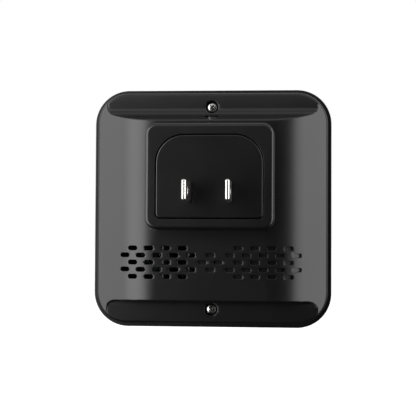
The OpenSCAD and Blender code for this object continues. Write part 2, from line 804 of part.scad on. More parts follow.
// Side-entry connector on the board's front side, its mouth towards the transducer
module speaker_header() {
    color([0.90, 0.89, 0.84]) on_front(header_at) difference() {
        translate([-2.4, -3.6, 0]) cube([4.8, 7.2, 4.2]);
        translate([-1.4, -2.9, 0.4]) cube([5, 5.8, 3.2]);
    }
}

module speaker_plug() {
    color([0.93, 0.92, 0.88]) on_front(header_at) translate([-1.2, -2.7, 0.5]) cube([6.6, 5.4, 3]);
}

// Leads, each on its own curve through four round points
module speaker_lead_hot() {
    color([0.75, 0.08, 0.06])
        lead([[-22.6, -22.6, 3.2], [-12, -22.2, 3.6], [-4, -22, 4], [-4, -25.1, 4]], 1);
}

module speaker_lead_return() {
    color([0.05, 0.05, 0.05]) lead([[-22.6, -22.6, 0.8], [-15, -22.2, 0.4], [-8.6, -22, 0.6],
        [-8.6, -25.4, 0.6]], 1);
}

module line_wire() {
    color([0.06, 0.06, 0.06]) lead([[-7.1, -14.9, 0], [-13, -14.9, 1], [-16.5, -15.5, 6],
        [-16.5, -20, 6]], 1.3);
}

module neutral_wire() {
    color([0.90, 0.90, 0.88])
        lead([[7.1, -14.9, 0], [13, -14.9, 1], [14.5, -15.5, 7], [14.5, -20, 7]], 1.3);
}

rear_cover();
front_cover();
plug_insert();
line_blade();
neutral_blade();
blade_clamp_plate();
clamp_screws();
case_screws();
main_pcb();
pcb_screws();
transformer_core();
transformer_bobbin();
transformer_winding();
safety_capacitor();
bulk_capacitor();
output_capacitor();
surge_varistor();
mains_fuse();
bridge_rectifier();
rectifier_diodes();
boost_inductor_core();
boost_inductor_winding();
control_chip();
driver_transistors();
chip_resistors();
chip_capacitors();
status_led();
light_pipe();
tact_switch_body();
tact_switch_plunger();
mode_button();
grille_cloth();
transducer_gasket();
transducer_frame();
transducer_horn();
transducer_plate();
piezo_disc();
transducer_screws();
speaker_header();
speaker_plug();
speaker_lead_hot();
speaker_lead_return();
line_wire();
neutral_wire();
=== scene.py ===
import json
from math import cos, hypot, pi, radians, sin, tan

import bmesh
import bpy
import numpy as np
from mathutils import Matrix, Vector


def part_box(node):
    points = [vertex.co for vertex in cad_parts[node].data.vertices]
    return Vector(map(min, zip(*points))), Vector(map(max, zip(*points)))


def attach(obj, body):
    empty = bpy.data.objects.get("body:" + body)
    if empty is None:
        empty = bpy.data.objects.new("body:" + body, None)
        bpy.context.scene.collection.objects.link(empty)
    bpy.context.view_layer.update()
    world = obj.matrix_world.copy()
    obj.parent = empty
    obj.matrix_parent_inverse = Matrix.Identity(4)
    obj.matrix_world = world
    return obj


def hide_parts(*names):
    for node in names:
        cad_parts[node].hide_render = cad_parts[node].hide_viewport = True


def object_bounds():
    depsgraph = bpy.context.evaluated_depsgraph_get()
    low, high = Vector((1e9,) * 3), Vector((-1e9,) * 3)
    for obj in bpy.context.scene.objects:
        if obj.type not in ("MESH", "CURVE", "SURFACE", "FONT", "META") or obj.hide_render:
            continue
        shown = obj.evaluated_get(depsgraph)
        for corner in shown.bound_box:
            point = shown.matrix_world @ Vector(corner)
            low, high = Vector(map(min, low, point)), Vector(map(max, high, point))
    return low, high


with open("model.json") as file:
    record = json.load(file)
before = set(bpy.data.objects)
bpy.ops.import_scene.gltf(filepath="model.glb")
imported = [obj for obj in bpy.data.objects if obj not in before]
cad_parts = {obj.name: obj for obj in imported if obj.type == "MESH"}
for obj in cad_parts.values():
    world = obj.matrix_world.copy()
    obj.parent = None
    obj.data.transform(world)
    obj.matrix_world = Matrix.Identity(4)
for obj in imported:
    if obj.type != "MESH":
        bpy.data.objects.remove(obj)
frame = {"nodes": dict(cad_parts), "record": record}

# An ultrasonic pest repeller seen from its plug side. Shapes are worked out in mm, with Z up and the plug
# towards +Y; the camera, the lights and the floor are placed in metres.

cad_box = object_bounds()
nodes = frame["nodes"]
MM = 0.001
MERGE = 0.002 * MM


# ---------------------------------------------------------------- camera, world, lights, floor

def make_camera():
    """A camera on the plug's side, a little towards -X and below the middle."""
    yaw = -0.064
    pitch = -0.027
    roll = 0.005
    distance = 0.2621
    target = Vector((0.00027, 0.0, -0.00489))
    back = Vector((sin(yaw) * cos(pitch), cos(yaw) * cos(pitch), sin(pitch)))
    data = bpy.data.cameras.new("camera")
    data.sensor_width = 36
    data.lens = 73.56
    data.clip_start = 0.01
    camera = bpy.data.objects.new("camera", data)
    bpy.context.scene.collection.objects.link(camera)
    aim = back.to_track_quat("Z", "Y").to_matrix() @ Matrix.Rotation(roll, 3, "Z")
    camera.rotation_euler = aim.to_euler()
    camera.location = target + back * distance
    bpy.context.scene.camera = camera


def make_world():
    """White to the camera; for the object, dim ahead of the plug and below, and brighter elsewhere."""
    world = bpy.data.worlds.new("studio")
    bpy.context.scene.world = world
    world.use_nodes = True
    tree = world.node_tree
    tree.nodes.clear()
    new, link = tree.nodes.new, tree.links.new
    out = new("ShaderNodeOutputWorld")
    seen = new("ShaderNodeBackground")
    seen.inputs["Color"].default_value = (1, 1, 1, 1)
    seen.inputs["Strength"].default_value = 1.0
    lit = new("ShaderNodeBackground")
    lit.inputs["Strength"].default_value = 1.0
    coords = new("ShaderNodeTexCoord")
    split = new("ShaderNodeSeparateXYZ")
    ramp = new("ShaderNodeValToRGB")
    ramp.color_ramp.interpolation = "EASE"
    ramp.color_ramp.elements[0].position = 0.55
    ramp.color_ramp.elements[0].color = (0.75, 0.75, 0.75, 1)
    ramp.color_ramp.elements[1].position = 0.95
    ramp.color_ramp.elements[1].color = (0.012, 0.012, 0.012, 1)
    spread = new("ShaderNodeMapRange")
    spread.inputs["From Min"].default_value = -1.0
    path = new("ShaderNodeLightPath")
    mix = new("ShaderNodeMixShader")
    link(coords.outputs["Generated"], split.inputs[0])
    link(split.outputs["Y"], spread.inputs["Value"])
    link(spread.outputs["Result"], ramp.inputs["Fac"])
    height = new("ShaderNodeMapRange")
    height.interpolation_type = "SMOOTHSTEP"
    height.inputs["From Min"].default_value = -0.3
    height.inputs["From Max"].default_value = 0.25
    height.inputs["To Min"].default_value = 0.06
    shade = new("ShaderNodeVectorMath")
    shade.operation = "SCALE"
    link(split.outputs["Z"], height.inputs["Value"])
    link(ramp.outputs["Color"], shade.inputs[0])
    link(height.outputs["Result"], shade.inputs["Scale"])
    link(shade.outputs["Vector"], lit.inputs["Color"])
    link(path.outputs["Is Camera Ray"], mix.inputs["Fac"])
    link(lit.outputs[0], mix.inputs[1])
    link(seen.outputs[0], mix.inputs[2])
    link(mix.outputs[0], out.inputs["Surface"])


def area_light(name, azimuth, elevation, distance, width, height, power):
    """A soft box aimed at the object; azimuth is from +Y towards +X."""
    data = bpy.data.lights.new(name, "AREA")
    data.shape = "RECTANGLE"
    data.size = width
    data.size_y = height
    data.energy = power
    lamp = bpy.data.objects.new(name, data)
    bpy.context.scene.collection.objects.link(lamp)
    a, e = radians(azimuth), radians(elevation)
    out = Vector((sin(a) * cos(e), cos(a) * cos(e), sin(e)))
    lamp.location = out * distance
    lamp.rotation_euler = out.to_track_quat("Z", "Y").to_euler()


def make_lights():
    """Four soft boxes on the plug's side; left and right are as the camera sees them."""
    area_light("soft_box_left", 42, 4, 1.0, 0.60, 1.3, 12.0)
    area_light("soft_box_far_left", 79, 4, 1.0, 0.7, 1.3, 7.3)
    area_light("soft_box_right", -70, 4, 1.0, 0.72, 1.3, 9.2)
    area_light("soft_box_above", 0, 38, 1.0, 1.3, 0.6, 2.0)


def make_floor():
    """A large pale floor well below the object."""
    half, steps, drop = 6.0, 12, 0.09
    mesh = bpy.data.meshes.new("floor")
    low = cad_box[0][2] - drop
    points = [(half * (2 * i / steps - 1), half * (2 * j / steps - 1), low)
              for i in range(steps + 1) for j in range(steps + 1)]
    faces = [(i * (steps + 1) + j, (i + 1) * (steps + 1) + j, (i + 1) * (steps + 1) + j + 1,
              i * (steps + 1) + j + 1) for i in range(steps) for j in range(steps)]
    mesh.from_pydata(points, [], faces)
    floor = bpy.data.objects.new("floor", mesh)
    bpy.context.scene.collection.objects.link(floor)
    paper = finish("pale_floor", (0.93, 0.93, 0.93), (0.9, 0.9, 0.9), 0.7, 0.1, 40, 0.0)
    glow = paper.node_tree.nodes["Principled BSDF"].inputs
    glow["Emission Color"].default_value = (1, 1, 1, 1)
    glow["Emission Strength"].default_value = 0.5
    mesh.materials.append(paper)
    floor.visible_glossy = False
    floor.visible_diffuse = False
    floor.visible_shadow = False


# ---------------------------------------------------------------- materials

def finish(name, light, dark, rough, spread, scale, bump, metallic=0.0, stretch=(1, 1, 1),
           pattern="noise", coat=0.0, transmission=0.0, depth=0.00002, ior=1.5):
    """A procedural finish: a pattern (noise, cells or bands) drives colour, roughness and bump."""
    fine_share = 0.6
    mat = bpy.data.materials.new(name)
    mat.use_nodes = True
    tree = mat.node_tree
    shader = tree.nodes["Principled BSDF"]
    new, link = tree.nodes.new, tree.links.new
    coords = new("ShaderNodeTexCoord")
    place = new("ShaderNodeMapping")
    place.inputs["Scale"].default_value = stretch
    link(coords.outputs["Object"], place.inputs["Vector"])
    if pattern == "noise":
        tex = new("ShaderNodeTexNoise")
        tex.inputs["Scale"].default_value = scale
        tex.inputs["Detail"].default_value = 6.0
        value = tex.outputs["Fac"]
    elif pattern == "cells":
        tex = new("ShaderNodeTexVoronoi")
        tex.inputs["Scale"].default_value = scale
        value = tex.outputs["Distance"]
    else:
        tex = new("ShaderNodeTexWave")
        tex.bands_direction = "X"
        tex.inputs["Scale"].default_value = scale
        tex.inputs["Distortion"].default_value = 0.6
        value = tex.outputs["Fac"]
    link(place.outputs["Vector"], tex.inputs["Vector"])
    broad = new("ShaderNodeTexNoise")
    broad.inputs["Scale"].default_value = 90
    broad.inputs["Detail"].default_value = 3
    link(coords.outputs["Object"], broad.inputs["Vector"])
    both = new("ShaderNodeMath")
    both.operation = "MULTIPLY_ADD"
    both.inputs[1].default_value = fine_share
    link(value, both.inputs[0])
    clouds = new("ShaderNodeMath")
    clouds.operation = "MULTIPLY"
    clouds.inputs[1].default_value = 1 - fine_share
    link(broad.outputs["Fac"], clouds.inputs[0])
    link(clouds.outputs[0], both.inputs[2])
    ramp = new("ShaderNodeValToRGB")
    ramp.color_ramp.elements[0].position = 0.3
    ramp.color_ramp.elements[0].color = (*dark, 1)
    ramp.color_ramp.elements[1].position = 0.7
    ramp.color_ramp.elements[1].color = (*light, 1)
    link(both.outputs[0], ramp.inputs["Fac"])
    link(ramp.outputs["Color"], shader.inputs["Base Color"])
    span = new("ShaderNodeMapRange")
    span.inputs["From Min"].default_value = 0.25
    span.inputs["From Max"].default_value = 0.75
    span.inputs["To Min"].default_value = max(rough - spread, 0.02)
    span.inputs["To Max"].default_value = min(rough + spread, 1.0)
    link(both.outputs[0], span.inputs["Value"])
    link(span.outputs["Result"], shader.inputs["Roughness"])
    if bump:
        relief = new("ShaderNodeBump")
        relief.inputs["Strength"].default_value = bump
        relief.inputs["Distance"].default_value = depth
        link(value, relief.inputs["Height"])
        link(relief.outputs["Normal"], shader.inputs["Normal"])
    shader.inputs["Metallic"].default_value = metallic
    shader.inputs["Specular IOR Level"].default_value = 0.5
    shader.inputs["IOR"].default_value = ior
    shader.inputs["Coat Weight"].default_value = coat
    shader.inputs["Transmission Weight"].default_value = transmission
    return mat


def make_materials():
    """One finish for each of the record's material slots."""
    return {
        "shell_black": finish("shell_black", (0.0036, 0.0036, 0.0038), (0.0022, 0.0022, 0.0024), 0.31, 0.03,
                              2600, 0.1),
        "insert_black": finish("insert_black", (0.0026, 0.0026, 0.0028), (0.0016, 0.0016, 0.0018), 0.30,
                               0.03, 2200, 0.1),
        "button_black": finish("button_black", (0.020, 0.020, 0.021), (0.012, 0.012, 0.013), 0.38, 0.05,
                               2600, 0.3),
        "nickel_plate": finish("nickel_plate", (0.80, 0.79, 0.77), (0.68, 0.67, 0.65), 0.24, 0.04, 900, 0.1,
                               metallic=1.0, stretch=(1, 0.12, 1)),
        "zinc_screw": finish("zinc_screw", (0.62, 0.62, 0.61), (0.42, 0.42, 0.41), 0.21, 0.06, 1500, 0.3,
                             metallic=1.0),
        "moulded_ivory": finish("moulded_ivory", (0.78, 0.74, 0.64), (0.70, 0.66, 0.56), 0.5, 0.06, 1600,
                                0.25),
        "moulded_black": finish("moulded_black", (0.03, 0.03, 0.03), (0.018, 0.018, 0.018), 0.5, 0.06, 1600,
                                0.25),
        "board_green": finish("board_green", (0.010, 0.040, 0.024), (0.006, 0.026, 0.015), 0.28, 0.05, 420,
                              0.5, pattern="cells", coat=0.4, depth=0.00004),
        "ferrite": finish("ferrite", (0.09, 0.085, 0.085), (0.045, 0.042, 0.042), 0.62, 0.08, 1400, 0.6),
        "winding_tape": finish("winding_tape", (0.065, 0.045, 0.03), (0.04, 0.028, 0.02), 0.35, 0.06, 500,
                               0.3, pattern="bands"),
        "copper_wire": finish("copper_wire", (0.78, 0.40, 0.22), (0.45, 0.20, 0.10), 0.28, 0.06, 900, 0.9,
                              metallic=1.0, pattern="bands", depth=0.0001),
        "box_grey": finish("box_grey", (0.11, 0.11, 0.115), (0.085, 0.085, 0.09), 0.45, 0.05, 900, 0.15),
        "sleeve_brown": finish("sleeve_brown", (0.045, 0.028, 0.02), (0.03, 0.018, 0.013), 0.25, 0.05, 700,
                               0.15),
        "sleeve_black": finish("sleeve_black", (0.03, 0.03, 0.035), (0.02, 0.02, 0.02), 0.25, 0.05, 700,
                               0.15),
        "varistor_blue": finish("varistor_blue", (0.05, 0.16, 0.45), (0.03, 0.10, 0.32), 0.3, 0.08, 800,
                                0.4),
        "fuse_tan": finish("fuse_tan", (0.72, 0.62, 0.46), (0.60, 0.50, 0.36), 0.55, 0.08, 1200, 0.3),
        "epoxy_black": finish("epoxy_black", (0.035, 0.035, 0.036), (0.02, 0.02, 0.02), 0.55, 0.08, 3000,
                              0.4),
        "chip_ceramic": finish("chip_ceramic", (0.55, 0.47, 0.36), (0.30, 0.25, 0.20), 0.45, 0.08, 1500,
                               0.3),
        "led_lens": finish("led_lens", (0.80, 0.86, 0.80), (0.70, 0.78, 0.70), 0.12, 0.04, 600, 0.1,
                           transmission=0.6),
        "clear_acrylic": finish("clear_acrylic", (0.95, 0.96, 0.97), (0.88, 0.90, 0.92), 0.14, 0.05, 900,
                                0.15, transmission=0.75, ior=1.49),
        "plunger_grey": finish("plunger_grey", (0.30, 0.30, 0.31), (0.22, 0.22, 0.23), 0.5, 0.06, 1600,
                               0.2),
        "cloth_black": finish("cloth_black", (0.03, 0.03, 0.03), (0.008, 0.008, 0.008), 0.85, 0.08, 900,
                              1.0, pattern="cells", depth=0.0002),
        "foam_black": finish("foam_black", (0.035, 0.035, 0.035), (0.012, 0.012, 0.012), 0.9, 0.06, 1100,
                             1.0, pattern="cells", depth=0.0002),
        "horn_aluminium": finish("horn_aluminium", (0.82, 0.82, 0.83), (0.66, 0.66, 0.67), 0.28, 0.06, 1200,
                                 0.3, metallic=1.0),
        "plate_brass": finish("plate_brass", (0.83, 0.66, 0.32), (0.62, 0.46, 0.20), 0.3, 0.07, 900, 0.25,
                              metallic=1.0),
        "piezo_ceramic": finish("piezo_ceramic", (0.74, 0.73, 0.70), (0.60, 0.59, 0.56), 0.5, 0.07, 1800,
                                0.3),
        "insulation_red": finish("insulation_red", (0.42, 0.03, 0.03), (0.30, 0.02, 0.02), 0.42, 0.05, 900,
                                 0.15),
        "insulation_black": finish("insulation_black", (0.03, 0.03, 0.03), (0.015, 0.015, 0.015), 0.42,
                                   0.05, 900, 0.15),
        "insulation_white": finish("insulation_white", (0.80, 0.79, 0.76), (0.70, 0.69, 0.66), 0.42, 0.05,
                                   900, 0.15),
    }


def slot_of_nodes():
    """The record's slot for each CAD node."""
    return {part["node"]: part["material_slot"] for part in frame["record"]["subparts"]}


def dress_nodes():
    """Gives every CAD node its slot's finish."""
    slots = slot_of_nodes()
    for name, piece in nodes.items():
        piece.data.materials.clear()
        piece.data.materials.append(finishes[slots[name]])


# ---------------------------------------------------------------- mesh helpers; points are in mm

def new_piece(name, points, faces, slot, body="housing", smooth_angle=35):
    """A mesh piece from points in mm, smooth except along its sharp edges."""
    mesh = bpy.data.meshes.new(name)
    mesh.from_pydata([Vector(p) * MM for p in points], [], faces)
    piece = bpy.data.objects.new(name, mesh)
    bpy.context.scene.collection.objects.link(piece)
    tidy_mesh(mesh, smooth_angle)
    if slot:
        mesh.materials.append(finishes[slot])
        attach(piece, body)
    return piece


def tidy_mesh(mesh, smooth_angle):
    """Merges doubles, turns the faces outwards and marks edges sharper than the angle."""
    shape = bmesh.new()
    shape.from_mesh(mesh)
    bmesh.ops.remove_doubles(shape, verts=shape.verts, dist=MERGE)
    bmesh.ops.recalc_face_normals(shape, faces=shape.faces)
    for face in shape.faces:
        face.smooth = True
    limit = radians(smooth_angle)
    for edge in shape.edges:
        edge.smooth = len(edge.link_faces) == 2 and edge.calc_face_angle(0) < limit
    shape.to_mesh(mesh)
    shape.free()


def bake_modifiers(piece):
    """Replaces the piece's mesh with what its modifiers make of it."""
    graph = bpy.context.evaluated_depsgraph_get()
    made = bpy.data.meshes.new_from_object(piece.evaluated_get(graph))
    piece.modifiers.clear()
    piece.data = made


def cut(piece, cutters, operation="DIFFERENCE", smooth_angle=35):
    """Cuts or joins the cutters with the piece, then removes them."""
    for cutter in cutters:
        step = piece.modifiers.new("cut", "BOOLEAN")
        step.operation = operation
        step.solver = "EXACT"
        step.use_self = False
        step.object = cutter
    bpy.context.view_layer.update()
    bake_modifiers(piece)
    for cutter in cutters:
        bpy.data.objects.remove(cutter)
    tidy_mesh(piece.data, smooth_angle)


def keep_flat(piece):
    """Lets the large faces set the shading beside small ones."""
    step = piece.modifiers.new("weighted normals", "WEIGHTED_NORMAL")
    step.keep_sharp = True
    step.weight = 60


def corner_arc(w, h, sx, sz, radius, start, inset, steps):
    """Points of one rounded corner, a quarter turn from its start angle."""
    least_r = 0.02
    r = max(radius - inset, least_r)
    off = inset + r if radius - inset < least_r else radius
    cx, cz = sx * (w / 2 - off), sz * (h / 2 - off)
    turns = [radians(start + 90 * i / steps) for i in range(steps + 1)]
    return [(cx + r * cos(a), cz + r * sin(a)) for a in turns]


def loop(w, h, r_top, r_low, inset=0.0, arc_steps=16, side_steps=6):
    """Points [x, z] round a rectangle with rounded corners, inset all round."""
    corners = ((1, 1, r_top, 0), (-1, 1, r_top, 90), (-1, -1, r_low, 180), (1, -1, r_low, 270))
    arcs = [corner_arc(w, h, *corner, inset, arc_steps) for corner in corners]
    points = []
    for arc, after in zip(arcs, arcs[1:] + arcs[:1]):
        (x0, z0), (x1, z1) = arc[-1], after[0]
        points += arc
        points += [(x0 + (x1 - x0) * i / side_steps, z0 + (z1 - z0) * i / side_steps)
                   for i in range(1, side_steps)]
    return np.array(points)


def ring_circle(radius, count):
    """Points [x, z] round a circle."""
    turn = np.arange(count) * 2 * pi / count
    return np.stack([radius * np.cos(turn), radius * np.sin(turn)], axis=1)


def loft(rings, closed=False):
    """Points and faces of a skin over rings of equal length; it is capped unless its ends meet."""
    count = len(rings[0])
    points = [tuple(p) for ring in rings for p in ring]
    faces = []
    spans = len(rings) if closed else len(rings) - 1
    for k in range(spans):
        a, b = k * count, ((k + 1) % len(rings)) * count
        faces += [(a + i, a + (i + 1) % count, b + (i + 1) % count, b + i) for i in range(count)]
    if not closed:
        faces.append(tuple(range(count)))
        faces.append(tuple(range((len(rings) - 1) * count, len(rings) * count)))
    return points, faces


def level(outline_points, y, cx=0.0, cz=0.0):
    """A ring of [x, z] points placed at one depth."""
    return [(cx + x, y, cz + z) for x, z in outline_points]


def several(parts):
    """Joins (points, faces) lists into one."""
    points, faces = [], []
    for more_points, more_faces in parts:
        base = len(points)
        points += more_points
        faces += [tuple(base + i for i in face) for face in more_faces]
    return points, faces


# ---------------------------------------------------------------- sizes in mm
# The front cover's box is read from the frame. The rest repeat the CAD's sizes, except that the shelves,
# their notch, the pad's walls and edge and the small radii were matched to the photo here.

cover_low, cover_high = (np.array(corner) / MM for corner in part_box("front_cover"))
BODY_W = cover_high[0] - cover_low[0]
BODY_Z = (cover_high[2] + cover_low[2]) / 2
FRONT_Y = cover_low[1]
SEAM_Y = -18.0
WALL = 2.0
CORNER_R = 11.3
SEAM_STEP = 1.1

# Rear cover and its dome
REAR_W = BODY_W - 2 * SEAM_STEP
REAR_R = CORNER_R - SEAM_STEP + 0.3
REAR_LOW = SEAM_Y + 0.2
REAR_EDGE_R, INNER_EDGE_R = 0.9, 0.05
SIDE_DRAFT = radians(7.5)
INNER_DRAFT = radians(1)
RIM_EXTRA = 0.3
CROWN_Y = -6.5
CROWN_HALF = 17.0
SHOULDER_R = 24.0
SLOPE = radians(32)

# Shelves: crease, floor, rounded ends, and walls with their leans and radii
SHELF_START = 30.0
SHELF_Y = -11.5
SHELF_DIP = 1.5
SHELF_COVE = 2.4
SHELF_FALL = 0.5
SHELF_BLEND = 0.6
UPPER_COVE_DIP, LOWER_COVE_DIP = 1.3, -0.4
SHELF_END, SHELF_END_W, SHELF_END_H = 34.2, 3.2, 3.0
UPPER_LEAN, LOWER_LEAN = radians(24), radians(4)
UPPER_TOP_R, LOWER_TOP_R = 0.5, 0.25
UPPER_FOOT_R, LOWER_FOOT_R = 0.8, 0.2
MOST_ROUNDED = 0.45
NOTCH_W, NOTCH_H, NOTCH_R, NOTCH_REACH = 4.6, 0.7, 0.2, 0.55
NOTCH_LOW, NOTCH_HIGH = -12.4, -7.5

# Case screws
SCREW_REACH = 32.8
SCREW_SEAT_Y = -14.9
WELL_R, WELL_FLARE, WELL_LOW = 2.1, 0.09, -20.0
TUBE_R, TUBE_HIGH, TUBE_LOW = 3.7, -13.9, -19.2
TUBE_MOUTH_R, SCREW_HOLE_R = 2.13, 1.2

# Skirt that reaches into the front cover
SKIRT_GAP, SKIRT_WALL, SKIRT_DEPTH = 0.3, 1.4, 2.0

# Outlet pad and plug insert
PAD_W, PAD_H, PAD_Z = 37.8, 30.8, 5.0
PAD_DRAFT = radians(1)
PAD_R = 2.4
PAD_EDGE = 1.15
PAD_ROOT_R = 0.15
PAD_LIP = 0.1
PAD_LOW = -9.0
INSERT_W, INSERT_H, INSERT_Z = 33.2, 25.9, 4.9
INSERT_TOP_R, INSERT_LOW_R = 8.8, 1.5
INSERT_GAP = 0.25
INSERT_EDGE = 0.45
INSERT_LOW = -9.0
FLANGE_W, FLANGE_H, FLANGE_R = INSERT_W + 4.4, INSERT_H + 3.6, 2.4
OPENING_GAP = 0.3
OPENING_LOW, OPENING_HIGH = -12.0, CROWN_Y + 0.6

# Blades
BLADE_X = 6.35
BLADE_END, BLADE_LOW = 16.5, -13.4
BLADE_T, BLADE_H, BLADE_R = 1.5, 6.35, 0.55
BLADE_TIP, BLADE_TIP_DEPTH, BLADE_CORNER = 0.68, 0.9, 0.6
TAIL_H, TAIL_R, TAIL_END, TAIL_HIGH = 4.4, 0.3, -16.2, -13.0
BLADE_SLOT_GAP, BLADE_SLOT_R = 0.06, 0.2
HOLE_FROM_TIP, HOLE_R = 4.6, 1.55
TAIL_HOLE_Y, TAIL_HOLE_R = -14.6, 0.7
HOLE_MOUTH = 0.25

# Vents
SLOT_L, SLOT_H = 3.0, 1.4
SLOT_PITCH, MIDDLE_PITCH, ROW_PITCH = 5.33, 5.0, 2.26
VENT_REACH, VENT_Z = 16.8, -22.0
# Depth, flare of the mouth, and how far the floor is drawn in round its edge
OPEN_VENT = (7.0, 0.11, 0.02)
CLOSED_VENT = (0.9, 0.04, 0.12)

# Front cover
FRONT_DRAFT = radians(2)
FRONT_EDGE = 5.0
HORN_Z = 2.0
GRILLE_R = 17.0
GRILLE_SOFT = 0.16
DISH_R, DISH_DEPTH = 20.5, 0.5
LED_HOLE_R, LED_Z = 1.6, -21.5
BUTTON_HOLE_R, BUTTON_Z = 4.0, -29.0
HOLE_SOFT = 0.25


def soft_min(a, b, reach):
    """The lower of two heights, blended where they come within reach of each other."""
    near = np.maximum(reach - np.abs(a - b), 0)
    return np.minimum(a, b) - near ** 2 / (4 * reach)


def dome_height(x, inset=0.0):
    """Height of the dome across X: level crown, round shoulders, straight slopes."""
    t = np.abs(x) - CROWN_HALF
    r = SHOULDER_R - inset
    bend = r * sin(SLOPE)
    arc = np.sqrt(r ** 2 - np.clip(t, 0, bend) ** 2) - r
    return CROWN_Y - inset + arc - np.maximum(t - bend, 0) * tan(SLOPE)


def edge_drop(inward, radius):
    """How far a rounded edge lies below its face, at a distance inward from its wall."""
    short = np.clip(radius - inward, 0, radius)
    return radius - np.sqrt(np.maximum(radius ** 2 - short ** 2, 0))


def cover_height(x, v, inset=0.0):
    """Height of the rear cover above X and V, V being measured from the housing's middle."""
    dome = dome_height(x, inset)
    past = np.abs(v) - (SHELF_START - inset)
    cove = np.clip((SHELF_COVE - past) / SHELF_COVE, 0, 1)
    fall, cove_dip = SHELF_FALL, 0.0
    if inset == 0:
        fall = SHELF_FALL * np.clip(past / (BODY_W / 2 - SHELF_START), 0, 1) ** 2
        cove_dip = np.where(v > 0, UPPER_COVE_DIP, LOWER_COVE_DIP)
    along = (np.abs(x) - (SHELF_END - SHELF_END_W)) * SHELF_END_H / SHELF_END_W
    across = SHELF_END_H - past
    within = SHELF_END_H - np.hypot(np.maximum(along, 0), np.maximum(across, 0)) - np.minimum(
        np.maximum(along, across), 0)
    lean = np.where(v > 0, tan(UPPER_LEAN), tan(LOWER_LEAN))
    base = SHELF_Y - SHELF_DIP - inset
    foot = soft_min(base + cove_dip, dome, SHELF_BLEND)
    floor = soft_min(base + cove_dip * cove ** 2 - fall, dome, SHELF_BLEND)
    most_r = MOST_ROUNDED * np.maximum(dome - foot, 0)
    top_r = np.minimum(np.where(v > 0, UPPER_TOP_R, LOWER_TOP_R), most_r)
    foot_r = np.minimum(np.where(v > 0, UPPER_FOOT_R, LOWER_FOOT_R), most_r)
    from_top = -(dome - top_r - foot) * lean - within
    from_foot = within + foot_r * lean
    above = dome - edge_drop(from_top, top_r)
    below = floor + edge_drop(from_foot, foot_r)
    wall = foot - within / lean
    return np.where(from_top >= 0, above, np.where(from_foot >= 0, below, wall))


# Stretches of the rear cover's grid, from its middle out: distance from the rim to the end, and lines in it
LINES_ACROSS = ((21.9, 16), (8.8, 26), (6.9, 18), (2.2, 20), (0.0, 21))
LINES_UP = ((21.9, 16), (12.5, 19), (8.8, 21), (6.9, 14), (2.2, 14), (0.0, 17))


def grid_lines(w, stretches):
    """Line places from -w to w, closer where the surface bends more."""
    half = [0.0]
    for from_rim, count in stretches:
        half += list(np.linspace(half[-1], w - from_rim, count + 1)[1:])
    half = np.array(half)
    return np.concatenate([-half[:0:-1], half])


def rounded_grid(w, r):
    """A square grid drawn in so that its rim is a rounded square; also each point's way in from the rim."""
    x, v = np.meshgrid(grid_lines(w, LINES_ACROSS), grid_lines(w, LINES_UP), indexing="ij")
    big = np.maximum(np.abs(x), np.abs(v))
    small = np.minimum(np.abs(x), np.abs(v))
    way_in = w - big
    even, fade, tiny = 2.0, 4.0, 1e-6
    radius = np.where(way_in < even, r - way_in, (r - even) * np.clip(1 - (way_in - even) / fade, 0, 1))
    start = big - radius
    turn = np.clip((small - start) / np.maximum(radius, tiny), 0, 1) * pi / 4
    on_arc = (small > start) & (radius > tiny)
    far = np.where(on_arc, start + radius * np.cos(turn), big)
    near = np.where(on_arc, start + radius * np.sin(turn), small)
    across = np.abs(x) >= np.abs(v)
    return np.sign(x) * np.where(across, far, near), np.sign(v) * np.where(across, near, far), way_in


def sheet_points(w, r, draft, inset, edge_r):
    """One sheet of the rear cover, its walls drafted and its rim rounded."""
    x, v, way_in = rounded_grid(w, r)
    top = cover_height(x, v, inset)
    inward = way_in - (top - edge_r - REAR_LOW) * tan(draft)
    y = np.where(inward >= 0, top - edge_drop(inward, edge_r), REAR_LOW + way_in / tan(draft))
    return np.stack([x, np.minimum(y, top), v + BODY_Z], axis=-1)


def rear_dome():
    """The domed shell: an outer and an inner sheet, joined along the rim."""
    outer = sheet_points(REAR_W / 2, REAR_R, SIDE_DRAFT, 0.0, REAR_EDGE_R)
    inner = sheet_points(REAR_W / 2 - WALL - RIM_EXTRA, REAR_R - WALL, INNER_DRAFT, WALL, INNER_EDGE_R)
    n = outer.shape[0]
    points = [tuple(p) for sheet in (outer, inner) for p in sheet.reshape(-1, 3)]
    faces = []
    for base in (0, n * n):
        starts = [base + i * n + j for i in range(n - 1) for j in range(n - 1)]
        faces += [(k, k + n, k + n + 1, k + 1) for k in starts]
    rim = [i * n for i in range(n)] + [(n - 1) * n + j for j in range(1, n)]
    rim += [i * n + n - 1 for i in range(n - 2, -1, -1)] + [j for j in range(n - 2, 0, -1)]
    faces += [(rim[k], rim[(k + 1) % len(rim)], rim[(k + 1) % len(rim)] + n * n, rim[k] + n * n)
              for k in range(len(rim))]
    return points, faces


def vent_places():
    """The vents' fields (-1, 0, 1) and centres in X and Z."""
    places = []
    for side in (-1, 0, 1):
        for row in range(-2, 3):
            count = 2 - abs(row) if side == 0 else 4 + abs(row) % 2
            pitch = MIDDLE_PITCH if side == 0 else SLOT_PITCH
            places += [(side, side * VENT_REACH + (i - (count - 1) / 2) * pitch, VENT_Z + row * ROW_PITCH)
                       for i in range(count)]
    return places


def on_dome(x, rise):
    """The dome's height at one X, plus a rise."""
    return float(dome_height(np.array(x))) + rise


